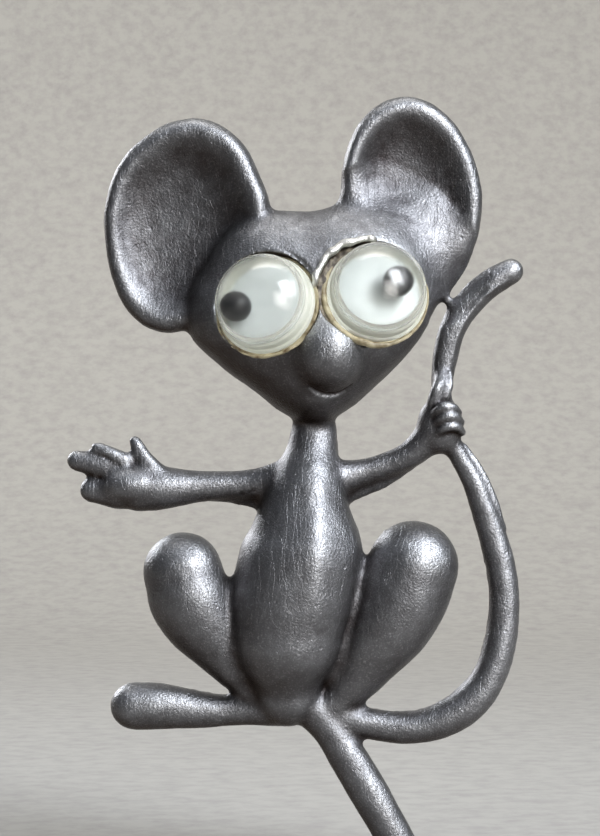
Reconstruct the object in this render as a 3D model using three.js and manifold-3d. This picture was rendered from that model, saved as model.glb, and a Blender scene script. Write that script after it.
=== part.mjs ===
// A cast pewter mouse brooch with two wobbly eyes, standing as it is worn: +X to the viewer's right, +Z up,
// and the face looking along -Y. The flat back of the casting is the plane y = 0, and the origin lies on it
// behind the shoulders, midway between the pin's joint and its catch. Left and right are the viewer's.
import * as THREE from "three";
import { mergeVertices } from "three/addons/utils/BufferGeometryUtils.js";
import Module from "manifold-3d";

const wasm = await Module();
wasm.setup();

// ---- Driving dimensions, in millimetres -------------------------------------------------------------
const HEAD_DEPTH = 6.7;
const HEAD_PEAK = [1.1, 9.6]; // where the head stands furthest forward
const HEAD_EDGE = 1.1; // how far forward the head's widest outline lies
const MUZZLE_R = [3.3, 3.1, 2.9];
const EAR_LEAN = 0.045; // how much an ear's depth grows with each millimetre towards its thick side

const EYE_R = 3.72; // outside of the eye's flange
const EYE_FLANGE_T = 0.45;
const EYE_STEP = 0.1; // the skirt draws in over this height above the flange
const SKIRT_R = 3.52;
const SKIRT_H = 2.0;
const EYE_H = 4.0;
const CAVITY_R = 3.0;
const CAVITY_H = 3.4;
const DISC_R = 2.92;
const DISC_T = 0.4;
const DISC_BASE = 0.05;
const PUPIL_R = 1.05;
const PUPIL_PLAY = 0.03; // between the ball and the disc it rolls on
const GLUE_R = 3.9;
const GLUE_T = 0.35;
const GLUE_GAP = 0.1; // between the glue and what it holds
const SOCKET_R = 4.05;
const SOCKET_GAP = 0.05; // between the glue and the socket's floor
const SOCKET_REACH = 12; // the socket's cut goes on out through the face
const EYES = [
  { side: "left", base: [-2.8, -5.5, 11.4], out: -18, up: 16, orbit: 1.82, angle: 195 },
  { side: "right", base: [5.25, -5.4, 12.2], out: 8, up: 19, orbit: 1.4, angle: 20 },
];

const PIN_Y = 2.5; // the stem's centre line behind the back
const PIN_X = -0.4;
const JOINT_Z = 16;
const CATCH_Z = -15;
const STEM_R = 0.4;
const STEM_TIP_Z = -17.8;
const STEM_POINT = 2.6; // length of the tapered point
const CHEEK_T = 0.5; // each cheek of the joint
const CHEEK_GAP = 0.95;
const CHEEK_R = 1.15;
const EYELET_R = 1.0;
const EYELET_T = 0.75;
const RIVET_R = 0.35;
const RIVET_HOLE_R = 0.42;
const RIVET_HEAD_R = 0.62;
const RIVET_HEAD_H = 0.3;
const RIVET_PLAY = 0.03; // under each rivet head
const PAD_R = 1.9;
const PAD_T = 0.5;
const PAD_LIFT = 0.05; // the solder film under a pad
const SOLDER_W = 0.55;
const SOLDER_H = 0.42;
const SOLDER_GAP = 0.04; // between the solder bead and the pad inside it
const CASE_R = 1.75; // the catch's C-shaped case
const CASE_BORE_R = 1.24;
const CASE_L = 1.5;
const CASE_FOOT_W = 1.6;
const CASE_MOUTH = 1.2;
const BARREL_R = 1.16; // the catch's turning barrel
const BARREL_BORE_R = 0.62;
const BARREL_SLOT = 1.0;
const COLLAR_R = 1.6;
const COLLAR_T = 0.5;
const COLLAR_GAP = 0.06;
const TAB_REACH = 2.9;
const TAB_W = 0.8;
const TAB_FROM_SLOT = -75; // degrees, looking down on the barrel

const DEG = Math.PI / 180;
const EVERYWHERE = 100; // longer than any piece, for cutting tools
const END_TURNS = [0, 36, 68]; // degrees of latitude of the rings that round a limb's end

// ---- Solids -----------------------------------------------------------------------------------------
// A closed three.js geometry as a manifold solid, turned the right way out.
function solid(geometry) {
  const bare = geometry.clone();
  for (const name of Object.keys(bare.attributes)) if (name !== "position") bare.deleteAttribute(name);
  const merged = mergeVertices(bare, 1e-4);
  const triVerts = new Uint32Array(merged.index.array);
  const vertProperties = new Float32Array(merged.attributes.position.array);
  const made = new wasm.Manifold(new wasm.Mesh({ numProp: 3, vertProperties, triVerts }));
  if (made.volume() > 0) return made;
  for (let i = 0; i < triVerts.length; i += 3) {
    [triVerts[i + 1], triVerts[i + 2]] = [triVerts[i + 2], triVerts[i + 1]];
  }
  return new wasm.Manifold(new wasm.Mesh({ numProp: 3, vertProperties, triVerts }));
}

function geometryOf(made) {
  const { vertProperties, triVerts, numProp } = made.getMesh();
  const count = vertProperties.length / numProp;
  const position = new Float32Array(count * 3);
  for (let i = 0; i < count; i++) {
    position.set(vertProperties.subarray(i * numProp, i * numProp + 3), i * 3);
  }
  const geometry = new THREE.BufferGeometry();
  geometry.setAttribute("position", new THREE.BufferAttribute(position, 3));
  geometry.setIndex(new THREE.BufferAttribute(new Uint32Array(triVerts), 1));
  geometry.computeVertexNormals();
  return geometry;
}

const join = (solids) => solids.reduce((all, next) => all.add(next));

// A point of the drawing: across and up from the origin, and forward of the back plane.
const at = (x, z, forward = 0) => new THREE.Vector3(x, -forward, z);

// A profile of [radius, height] pairs turned about +Y.
function turned(profile, sides = 24) {
  return new THREE.LatheGeometry(profile.map(([r, h]) => new THREE.Vector2(r, h)), sides);
}

function ellipsoid(centre, radii, sides) {
  const ball = new THREE.SphereGeometry(1, sides, Math.round(sides * 0.6)).scale(...radii);
  return solid(ball.translate(centre.x, centre.y, centre.z));
}

// A round limb with rounded ends: stations are [x, z, forward, radius], and depth squashes it front to back.
function limb(stations, { depth = 1, sides = 14, steps = 4 } = {}) {
  const line = new THREE.CatmullRomCurve3(stations.map(([x, z, forward]) => at(x, z, forward)));
  const last = stations.length - 1;
  const radiusAt = (u) => {
    const i = Math.min(Math.floor(u * last), last - 1);
    const share = THREE.MathUtils.smoothstep(u * last, i, i + 1);
    return THREE.MathUtils.lerp(stations[i][3], stations[i + 1][3], share);
  };
  // Each ring is [place along the line, push along its direction, radius].
  const endRing = (u, sign, turn) => {
    const r = radiusAt(u);
    return [u, sign * r * Math.cos(turn * DEG), r * Math.sin(turn * DEG)];
  };
  const rings = END_TURNS.map((turn) => endRing(0, -1, turn));
  const count = last * steps;
  for (let k = 0; k <= count; k++) rings.push([k / count, 0, radiusAt(k / count)]);
  rings.push(...END_TURNS.map((turn) => endRing(1, 1, turn)).reverse());
  const tube = turned(rings.map(([, , r], k) => [r, k]), sides);
  const position = tube.attributes.position;
  const back = new THREE.Vector3(0, 1, 0);
  for (let i = 0; i < position.count; i++) {
    const [u, push] = rings[Math.round(position.getY(i))];
    const along = line.getTangent(u);
    const across = new THREE.Vector3().crossVectors(along, back).normalize();
    const lift = new THREE.Vector3().crossVectors(across, along).normalize();
    const place = line.getPoint(u).addScaledVector(along, push);
    place.addScaledVector(across, position.getX(i)).addScaledVector(lift, position.getZ(i) * depth);
    position.setXYZ(i, place.x, place.y, place.z);
  }
  return solid(tube);
}

// A moulded form: a closed outline in the drawing plane, and a profile of [share of the way from the peak
// to the outline, forward of the back]. With a lean, the form grows deeper towards +X.
function moulded(outline, peak, profile, { sides = 36, lean = 0 } = {}) {
  const edge = new THREE.CatmullRomCurve3(outline.map(([x, z]) => at(x, z)), true);
  const form = turned(profile, sides);
  const position = form.attributes.position;
  const middle = at(...peak);
  for (let i = 0; i < position.count; i++) {
    const share = Math.hypot(position.getX(i), position.getZ(i));
    const round = Math.atan2(position.getX(i), position.getZ(i)) / (2 * Math.PI);
    const place = middle.clone().lerp(edge.getPointAt((round + 1) % 1), share);
    position.setXYZ(i, place.x, -position.getY(i) * (1 + lean * (place.x - middle.x)), place.z);
  }
  return solid(form);
}

function disc(radius, length, sides = 28) {
  return new THREE.CylinderGeometry(radius, radius, length, sides);
}

function box(low, high) {
  const size = new THREE.Vector3().subVectors(high, low);
  const centre = new THREE.Vector3().addVectors(low, high).multiplyScalar(0.5);
  return solid(new THREE.BoxGeometry(size.x, size.y, size.z).translate(centre.x, centre.y, centre.z));
}

// ---- The casting ------------------------------------------------------------------------------------
function head() {
  const outline = [
    [-4.3, 18.4], [-2.4, 18.7], [0.6, 18.7], [2.9, 19.2], [6.6, 18.8], [9.0, 16.5], [10.1, 12.8],
    [9.3, 10.2], [7.6, 7.8], [5.4, 5.6], [3.3, 3.8], [0.9, 2.6], [-1.5, 3.4], [-3.9, 5.2], [-6.7, 7.3],
    [-8.8, 9.6], [-8.9, 12.0], [-7.6, 14.6], [-6.1, 16.9],
  ];
  const profile = [[0, 0], [0.95, 0], [1, HEAD_EDGE]];
  for (let turn = 80; turn >= 0; turn -= 10) {
    const share = turn === 0 ? 0 : Math.sin(turn * DEG);
    profile.push([share, HEAD_EDGE + (HEAD_DEPTH - HEAD_EDGE) * Math.cos(turn * DEG)]);
  }
  const skull = moulded(outline, HEAD_PEAK, profile, { sides: 38 });
  return join([skull, ellipsoid(at(1.7, 8.2, 5.0), MUZZLE_R, 18)]);
}

// An ear is a dish with a rolled rim, thickest where its outline is furthest from its deepest point.
function ear(outline, deepest, lean) {
  const profile = [
    [0, 0], [0.93, 0], [1, 0.9], [1, 1.8], [0.965, 2.4], [0.91, 2.6], [0.85, 2.4], [0.77, 1.75],
    [0.58, 1.2], [0.3, 0.95], [0, 0.9],
  ];
  return moulded(outline, deepest, profile, { sides: 28, lean });
}

function ears() {
  const left = [
    [-2.6, 18.9], [-3.5, 21.6], [-4.9, 24.0], [-7.0, 25.4], [-9.4, 25.5], [-11.8, 24.4], [-13.9, 22.3],
    [-15.0, 19.3], [-15.0, 16.1], [-14.3, 13.1], [-13.1, 10.9], [-11.4, 9.7], [-9.4, 9.6], [-7.2, 10.9],
    [-4.6, 14.2], [-2.8, 16.9],
  ];
  const right = [
    [2.7, 19.0], [2.7, 21.1], [3.2, 23.5], [4.4, 25.7], [6.2, 27.0], [8.3, 27.2], [10.3, 26.2], [12.1, 23.9],
    [13.1, 21.2], [13.3, 18.6], [12.7, 15.8], [11.6, 13.5], [10.0, 12.0], [7.1, 12.6], [4.4, 15.8],
  ];
  return [ear(left, [-10.2, 17.0], EAR_LEAN), ear(right, [8.6, 18.6], -EAR_LEAN)];
}

function torso() {
  const stations = [
    [0.7, 2.2, 1.2, 1.8], [0.5, 0.4, 1.4, 2.1], [0.2, -1.5, 1.5, 2.75], [0, -3.8, 1.5, 3.5],
    [-0.1, -6.3, 1.5, 4.45], [-0.6, -9.0, 1.5, 4.75], [-1.2, -12.0, 1.5, 4.6], [-1.4, -15.0, 1.4, 4.0],
    [-1.35, -17.5, 1.2, 2.5],
  ];
  return limb(stations, { depth: 0.95, sides: 20, steps: 1 });
}

function legs() {
  const rightThigh = [
    [8.1, -7.95, 1.5, 3.42], [7.0, -10.9, 1.4, 3.4], [5.1, -14.1, 1.2, 2.75], [3.2, -17.1, 1.1, 1.7],
    [1.6, -18.9, 1.0, 1.2],
  ];
  const leftThigh = [
    [-9.15, -8.4, 1.4, 3.0], [-8.35, -10.9, 1.4, 3.1], [-6.7, -13.5, 1.2, 2.45], [-5.0, -15.9, 1.1, 1.6],
    [-3.75, -17.6, 1.0, 1.2],
  ];
  const leftFoot = [
    [-12.8, -18.45, 1.1, 1.8], [-10.5, -18.5, 1.0, 1.72], [-7.5, -18.8, 0.9, 1.35], [-4.5, -18.8, 0.9, 1.15],
    [-1.6, -18.5, 1.0, 1.5],
  ];
  const rightFoot = [
    [7.05, -28.9, 1.0, 1.4], [4.9, -25.1, 1.1, 1.5], [3.2, -22.3, 1.0, 1.45], [1.8, -20.1, 1.0, 1.4],
    [0.5, -18.6, 1.0, 1.5],
  ];
  return [rightThigh, leftThigh].map((stations) => limb(stations, { sides: 16, steps: 2 })).concat(
    [leftFoot, rightFoot].map((stations) => limb(stations, { sides: 12, steps: 2 })),
  );
}

function arms() {
  const left = [
    [-0.9, -1.4, 1.1, 1.6], [-4.1, -1.8, 0.8, 1.1], [-7.9, -2.0, 0.9, 1.22], [-10.5, -2.1, 1.0, 1.6],
    [-12.4, -2.2, 1.0, 1.7],
  ];
  const right = [
    [1.7, -1.5, 1.1, 1.5], [4.0, -1.0, 0.9, 1.05], [6.0, -0.4, 0.9, 0.95], [8.0, 0.5, 1.1, 1.05],
    [9.6, 2.0, 1.4, 1.3],
  ];
  return [left, right].map((stations) => limb(stations, { sides: 12, steps: 2 }));
}

function openHand() {
  const palm = ellipsoid(at(-12.9, -1.9, 1.0), [2.7, 1.6, 2.0], 14);
  const digits = [
    [[-11.0, -1.2, 1.4, 0.83], [-12.0, 0.15, 1.5, 0.62], [-12.75, 1.4, 1.4, 0.45]],
    [[-13.5, -0.1, 1.5, 0.64], [-14.8, 0.6, 1.6, 0.52], [-15.6, 0.95, 1.5, 0.46]],
    [[-14.0, -0.9, 1.2, 0.98], [-15.75, -0.35, 1.2, 0.9], [-17.1, -0.05, 1.1, 0.8]],
    [[-13.9, -2.4, 1.0, 1.35], [-15.2, -2.3, 1.0, 1.1], [-15.95, -2.25, 1.0, 0.96]],
  ];
  return [palm, ...digits.map((stations) => limb(stations, { sides: 8, steps: 2 }))];
}

function fist() {
  const palm = ellipsoid(at(10.1, 2.6, 1.5), [1.75, 2.0, 2.3], 14);
  const knuckles = [[9.9, 3.1], [10.2, 2.15]].map(([x, z]) => [
    [x, z, 3.0, 0.6], [x + 0.8, z + 0.5, 2.9, 0.62], [x + 1.35, z + 0.8, 1.7, 0.5],
  ]);
  const thumb = [[9.6, 4.4, 2.3, 0.6], [10.0, 5.4, 2.3, 0.62], [10.2, 6.2, 1.9, 0.5]];
  return [palm, ...[...knuckles, thumb].map((stations) => limb(stations, { sides: 8, steps: 2 }))];
}

function tail() {
  const stations = [
    [2.0, -19.1, 1.0, 1.2], [5.5, -19.9, 0.9, 1.2], [8.2, -20.1, 0.9, 1.24], [10.6, -19.4, 0.9, 1.36],
    [12.6, -18.0, 0.9, 1.38], [13.9, -16.1, 0.9, 1.3], [14.65, -13.8, 0.9, 1.24], [14.95, -11.2, 0.9, 1.18],
    [14.8, -8.6, 0.9, 1.14], [14.25, -6.2, 0.9, 1.1], [13.45, -3.8, 1.0, 1.02], [12.55, -1.5, 1.2, 0.88],
    [11.4, 0.5, 1.4, 0.75], [10.5, 2.6, 1.5, 0.75], [10.25, 5.2, 1.2, 0.8], [10.45, 7.8, 0.9, 0.88],
    [11.1, 10.2, 0.8, 0.92], [12.5, 12.2, 0.8, 0.94], [14.1, 13.6, 0.8, 0.94], [15.6, 14.4, 0.8, 0.85],
  ];
  return limb(stations, { sides: 10, steps: 2 });
}

function casting() {
  const whole = join([head(), ...ears(), torso(), ...legs(), ...arms(), ...openHand(), ...fist(), tail()]);
  const low = new THREE.Vector3(-EVERYWHERE, 0, -EVERYWHERE);
  const high = new THREE.Vector3(EVERYWHERE, EVERYWHERE, EVERYWHERE);
  return whole.subtract(join([box(low, high), ...EYES.map(socket)]));
}

// ---- The eyes ---------------------------------------------------------------------------------------
// An eye's own frame has +Z along its axis, out of the face, and its origin at the middle of its base.
function eyeFrame(eye) {
  const frame = new THREE.Group();
  frame.position.set(...eye.base);
  frame.rotation.set((90 - eye.up) * DEG, 0, 0);
  frame.rotateOnWorldAxis(new THREE.Vector3(0, 0, 1), eye.out * DEG);
  frame.updateMatrix();
  return frame;
}

const alongX = (geometry) => geometry.rotateZ(Math.PI / 2);
const alongZ = (geometry) => geometry.rotateX(Math.PI / 2);

function socket(eye) {
  const floor = -(GLUE_GAP + GLUE_T + SOCKET_GAP);
  const pocket = alongZ(disc(SOCKET_R, SOCKET_REACH, 32)).translate(0, 0, floor + SOCKET_REACH / 2);
  return solid(pocket.applyMatrix4(eyeFrame(eye).matrix));
}

// A domed arc from [radius, start height] up to the axis at top, as profile points.
function domeArc(radius, start, top, steps = 5) {
  const rise = top - start;
  const sphere = (radius * radius + rise * rise) / (2 * rise);
  const from = Math.asin(radius / sphere);
  return Array.from({ length: steps + 1 }, (_, k) => {
    const a = from * (1 - k / steps);
    return [k === steps ? 0 : sphere * Math.sin(a), top - sphere * (1 - Math.cos(a))];
  });
}

function eyeCap() {
  const flange = [[CAVITY_R, 0], [EYE_R, 0], [EYE_R, EYE_FLANGE_T], [SKIRT_R, EYE_FLANGE_T + EYE_STEP]];
  const outside = domeArc(SKIRT_R, SKIRT_H, EYE_H);
  const inside = domeArc(CAVITY_R, SKIRT_H, CAVITY_H).reverse();
  return alongZ(turned([...flange, ...outside, ...inside, [CAVITY_R, 0]]));
}

// A flat round plate between two heights over the eye's base.
const plate = (radius, low, high) => alongZ(turned([[0, low], [radius, low], [radius, high], [0, high]]));

const eyeDisc = () => plate(DISC_R, DISC_BASE, DISC_BASE + DISC_T);

const eyeGlue = () => plate(GLUE_R, -GLUE_GAP - GLUE_T, -GLUE_GAP);

function pupil(eye) {
  const lift = DISC_BASE + DISC_T + PUPIL_PLAY + PUPIL_R;
  const across = eye.orbit * Math.cos(eye.angle * DEG);
  const up = eye.orbit * Math.sin(eye.angle * DEG);
  return new THREE.SphereGeometry(PUPIL_R, 16, 12).translate(across, up, lift);
}

// ---- The pin fitting --------------------------------------------------------------------------------
// Everything here is drawn about the pin's own line: x = 0 is the pin's middle.
function pad(z) {
  return solid(disc(PAD_R, PAD_T).translate(0, PAD_LIFT + PAD_T / 2, z));
}

function solder(z) {
  const inner = PAD_R + SOLDER_GAP;
  const foot = SOLDER_GAP / 2;
  const bead = [
    [inner, foot], [inner + SOLDER_W, foot], [inner + SOLDER_W * 0.4, SOLDER_H * 0.4], [inner, SOLDER_H],
    [inner, foot],
  ];
  return turned(bead, 28).translate(0, 0, z);
}

function pinJoint() {
  const cheeks = [-1, 1].map((side) => {
    const x = (side * (CHEEK_GAP + CHEEK_T)) / 2;
    const round = solid(alongX(disc(CHEEK_R, CHEEK_T)).translate(x, PIN_Y, JOINT_Z));
    const low = new THREE.Vector3(x - CHEEK_T / 2, PAD_LIFT + PAD_T / 2, JOINT_Z - CHEEK_R);
    const high = new THREE.Vector3(x + CHEEK_T / 2, PIN_Y, JOINT_Z + CHEEK_R);
    return round.add(box(low, high));
  });
  return join([pad(JOINT_Z), ...cheeks]).subtract(rivetHole());
}

function rivetHole() {
  return solid(alongX(disc(RIVET_HOLE_R, EVERYWHERE)).translate(0, PIN_Y, JOINT_Z));
}

function jointRivet() {
  const half = CHEEK_GAP / 2 + CHEEK_T + RIVET_PLAY;
  const head = [
    [RIVET_HEAD_R, half], [RIVET_HEAD_R * 0.85, half + RIVET_HEAD_H * 0.55],
    [RIVET_HEAD_R * 0.45, half + RIVET_HEAD_H * 0.9], [0, half + RIVET_HEAD_H],
  ];
  const foot = head.map(([r, h]) => [r, -h]).reverse();
  const rivet = turned([...foot, [RIVET_R, -half], [RIVET_R, half], ...head], 20);
  return alongX(rivet).translate(0, PIN_Y, JOINT_Z);
}

function pinStem() {
  const eyelet = solid(alongX(disc(EYELET_R, EYELET_T)).translate(0, PIN_Y, JOINT_Z));
  const length = JOINT_Z - STEM_TIP_Z;
  const wire = [
    [0, 0], [STEM_R, 0], [STEM_R, STEM_POINT - length], [STEM_R * 0.6, STEM_POINT * 0.4 - length],
    [0, -length],
  ];
  const shaft = alongZ(turned(wire, 16)).translate(0, PIN_Y, JOINT_Z);
  return solid(shaft).add(eyelet).subtract(rivetHole());
}

// A round bar along the pin's line at the catch, and a slot cut into it from behind.
function catchBar(radius, length, z = 0) {
  return solid(alongZ(disc(radius, length, 32)).translate(0, PIN_Y, CATCH_Z + z));
}

function slotCut(width) {
  const low = new THREE.Vector3(-width / 2, PIN_Y, CATCH_Z - EVERYWHERE);
  const high = new THREE.Vector3(width / 2, PIN_Y + EVERYWHERE, CATCH_Z + EVERYWHERE);
  return box(low, high);
}

function catchCase() {
  const footLow = new THREE.Vector3(-CASE_FOOT_W / 2, PAD_LIFT + PAD_T / 2, CATCH_Z - CASE_L / 2);
  const footHigh = new THREE.Vector3(CASE_FOOT_W / 2, PIN_Y, CATCH_Z + CASE_L / 2);
  const whole = join([pad(CATCH_Z), catchBar(CASE_R, CASE_L), box(footLow, footHigh)]);
  return whole.subtract(catchBar(CASE_BORE_R, 2 * CASE_L)).subtract(slotCut(CASE_MOUTH));
}

function catchBarrel() {
  const collarZ = CASE_L / 2 + COLLAR_GAP + COLLAR_T / 2;
  const collars = [-1, 1].map((side) => catchBar(COLLAR_R, COLLAR_T, side * collarZ));
  const tab = new THREE.BoxGeometry(TAB_REACH - BARREL_R, TAB_W, COLLAR_T);
  tab.translate((TAB_REACH + BARREL_R) / 2, 0, 0);
  tab.rotateZ((90 + TAB_FROM_SLOT) * DEG).translate(0, PIN_Y, CATCH_Z - collarZ);
  const whole = join([catchBar(BARREL_R, 2 * collarZ), ...collars, solid(tab)]);
  return whole.subtract(catchBar(BARREL_BORE_R, EVERYWHERE)).subtract(slotCut(BARREL_SLOT));
}

// ---- The brooch -------------------------------------------------------------------------------------
const pewter = new THREE.MeshStandardMaterial({ color: 0x55565a, roughness: 0.42, metalness: 1 });
const clear = new THREE.MeshStandardMaterial({ color: 0xe9ead2, roughness: 0.08, opacity: 0.4 });
clear.transparent = true;
const white = new THREE.MeshStandardMaterial({ color: 0xf1f2ef, roughness: 0.35 });
const black = new THREE.MeshStandardMaterial({ color: 0x1b1b1e, roughness: 0.2 });
const amber = new THREE.MeshStandardMaterial({ color: 0xb98d4a, roughness: 0.5 });
const nickel = new THREE.MeshStandardMaterial({ color: 0xb9b7b0, roughness: 0.3, metalness: 1 });
const steel = new THREE.MeshStandardMaterial({ color: 0xc4c6c9, roughness: 0.2, metalness: 1 });
const tin = new THREE.MeshStandardMaterial({ color: 0x9a9b9c, roughness: 0.45, metalness: 1 });

const brooch = new THREE.Group();

function place(name, geometry, material, parent = brooch) {
  const mesh = new THREE.Mesh(geometry, material);
  mesh.name = name;
  parent.add(mesh);
}

place("mouse_casting", geometryOf(casting()), pewter);

for (const eye of EYES) {
  const frame = eyeFrame(eye);
  brooch.add(frame);
  place(`${eye.side}_eye_glue`, eyeGlue(), amber, frame);
  place(`${eye.side}_eye_disc`, eyeDisc(), white, frame);
  place(`${eye.side}_eye_cap`, eyeCap(), clear, frame);
  place(`${eye.side}_pupil`, pupil(eye), black, frame);
}

const fitting = new THREE.Group();
fitting.position.x = PIN_X;
brooch.add(fitting);
place("joint_solder", solder(JOINT_Z), tin, fitting);
place("pin_joint", geometryOf(pinJoint()), nickel, fitting);
place("joint_rivet", jointRivet(), nickel, fitting);
place("pin_stem", geometryOf(pinStem()), steel, fitting);
place("catch_solder", solder(CATCH_Z), tin, fitting);
place("catch_case", geometryOf(catchCase()), nickel, fitting);
place("catch_barrel", geometryOf(catchBarrel()), nickel, fitting);

export default brooch;
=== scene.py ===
import math
import random

import bpy
import numpy as np
from mathutils import Matrix, Vector


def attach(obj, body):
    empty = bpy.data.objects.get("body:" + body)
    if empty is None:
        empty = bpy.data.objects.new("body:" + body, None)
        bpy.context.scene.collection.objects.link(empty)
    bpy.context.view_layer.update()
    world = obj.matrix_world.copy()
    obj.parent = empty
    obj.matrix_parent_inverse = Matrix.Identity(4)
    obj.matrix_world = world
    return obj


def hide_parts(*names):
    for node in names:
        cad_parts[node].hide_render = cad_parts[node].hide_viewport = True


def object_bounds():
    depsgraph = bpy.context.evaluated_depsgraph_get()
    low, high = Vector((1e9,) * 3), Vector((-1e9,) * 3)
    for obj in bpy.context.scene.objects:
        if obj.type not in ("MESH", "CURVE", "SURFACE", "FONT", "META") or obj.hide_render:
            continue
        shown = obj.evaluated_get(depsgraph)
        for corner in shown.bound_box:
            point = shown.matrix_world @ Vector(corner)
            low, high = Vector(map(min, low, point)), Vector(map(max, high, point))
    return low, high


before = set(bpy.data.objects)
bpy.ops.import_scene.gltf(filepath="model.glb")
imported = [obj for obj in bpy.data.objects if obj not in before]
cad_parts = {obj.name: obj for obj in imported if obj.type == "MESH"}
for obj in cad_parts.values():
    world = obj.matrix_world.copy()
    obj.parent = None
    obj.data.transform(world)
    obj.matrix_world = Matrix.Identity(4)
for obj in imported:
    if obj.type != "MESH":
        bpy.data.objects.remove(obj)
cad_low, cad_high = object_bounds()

# ---- Viewpoint --------------------------------------------------------------------------------------
# The brooch is looked at square on, from a hand's length in front of its face.
MM = 0.001
aim = Vector((-0.38, -1.2, 3.15)) * MM
stand_off = 226.4 * MM
lens_length = 130
bpy.ops.object.select_all(action="DESELECT")
bpy.ops.object.camera_add(
    location=(aim.x, aim.y - stand_off, aim.z), rotation=(math.pi / 2, 0, 0))
camera = bpy.context.object
camera.data.lens = lens_length
camera.data.clip_start = 5 * MM
bpy.context.scene.camera = camera

# ---- Studio paper and lights ------------------------------------------------------------------------
# A wide sheet of pale grey card lies under the brooch and sweeps up far behind it. The light is one
# broad window high on the right, a paper sky above, a small window behind, and lamps on the sheet.
paper_half = 1300 * MM
paper_back = 440 * MM
paper_front = -1500 * MM
floor_level = cad_low.z - 0.05 * MM
sweep = 220 * MM
sweep_steps = 24
wall_height = 1100 * MM


def linear(hex_colour):
    """An sRGB hex colour as linear red, green, blue and alpha."""
    parts = [int(hex_colour[i:i + 2], 16) / 255 for i in (1, 3, 5)]
    return [p / 12.92 if p <= 0.04045 else ((p + 0.055) / 1.055) ** 2.4 for p in parts] + [1]


def add_node(tree, kind, settings=None, inputs=None):
    """Adds a node, gives it its settings, and sets or links its inputs."""
    made = tree.nodes.new(kind)
    for name, value in (settings or {}).items():
        setattr(made, name, value)
    for key, value in (inputs or {}).items():
        if isinstance(value, bpy.types.NodeSocket):
            tree.links.new(value, made.inputs[key])
        else:
            made.inputs[key].default_value = value
    return made


def new_material(name):
    """An empty material: its node tree and its output node."""
    material = bpy.data.materials.new(name)
    material.use_nodes = True
    material.node_tree.nodes.clear()
    return material, material.node_tree, add_node(material.node_tree, "ShaderNodeOutputMaterial")


def finish_surface(tree, output, settings):
    """Links a Principled shader with these inputs to the output."""
    shader = add_node(tree, "ShaderNodeBsdfPrincipled", inputs=settings)
    tree.links.new(shader.outputs["BSDF"], output.inputs["Surface"])


bpy.ops.mesh.primitive_plane_add(size=1)
paper = bpy.context.object
paper.name = "Studio_Paper"
for corner in paper.data.vertices:
    corner.co = Vector((
        paper_half * (1 if corner.co.x > 0 else -1),
        paper_back if corner.co.y > 0 else paper_front, floor_level))
bpy.ops.object.mode_set(mode="EDIT")
bpy.ops.mesh.select_mode(type="EDGE")
bpy.ops.mesh.select_all(action="DESELECT")
bpy.ops.object.mode_set(mode="OBJECT")
for edge in paper.data.edges:
    edge.select = all(paper.data.vertices[v].co.y > 0 for v in edge.vertices)
rear = [v.index for v in paper.data.vertices if v.co.y > 0]
bpy.ops.object.mode_set(mode="EDIT")
bpy.ops.mesh.extrude_region_move(TRANSFORM_OT_translate={"value": (0, 0, wall_height)})
bpy.ops.mesh.select_all(action="DESELECT")
bpy.ops.object.mode_set(mode="OBJECT")
for edge in paper.data.edges:
    edge.select = set(edge.vertices) == set(rear)
bpy.ops.object.mode_set(mode="EDIT")
bpy.ops.mesh.bevel(offset=sweep, segments=sweep_steps, affect="EDGES")
bpy.ops.object.mode_set(mode="OBJECT")
bpy.ops.object.shade_smooth()

# Uncoated grey card: matt, with faint fibres, drawn coarser than real to show, and broader clouding.
card, tree, output = new_material("Uncoated grey card")
place = add_node(tree, "ShaderNodeTexCoord").outputs["Object"]
fibre = add_node(tree, "ShaderNodeTexNoise", inputs={
    "Vector": place, "Scale": 1 / 0.0022, "Detail": 6, "Roughness": 0.65})
cloud = add_node(tree, "ShaderNodeTexNoise", inputs={"Vector": place, "Scale": 1 / 0.045, "Detail": 2})
speckle = add_node(tree, "ShaderNodeMapRange", inputs={
    "Value": fibre.outputs["Fac"], "From Min": 0.4, "From Max": 0.75, "To Min": 0.0, "To Max": 1.0})
clouding = add_node(tree, "ShaderNodeMath", {"operation": "MULTIPLY_ADD"}, {
    0: cloud.outputs["Fac"], 1: 0.35, 2: speckle.outputs["Result"]})
tone = add_node(tree, "ShaderNodeMix", {"data_type": "RGBA"}, {
    0: clouding.outputs[0], 6: linear("#a9a8a4"), 7: linear("#999795")})
finish_surface(tree, output, {"Base Color": tone.outputs[2], "Roughness": 0.9})
paper.data.materials.append(card)


def softbox(name, place_mm, target_mm, size_mm, watts, colour, spread):
    """An area light at a place, facing a target."""
    place = Vector(place_mm) * MM
    turn = (place - Vector(target_mm) * MM).to_track_quat("Z", "Y").to_euler()
    bpy.ops.object.light_add(type="AREA", location=place, rotation=turn)
    lamp = bpy.context.object
    lamp.name = name
    lamp.data.shape = "RECTANGLE"
    lamp.data.size, lamp.data.size_y = (side * MM for side in size_mm)
    lamp.data.energy = watts
    lamp.data.color = linear(colour)[:3]
    lamp.data.spread = math.radians(spread)


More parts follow.
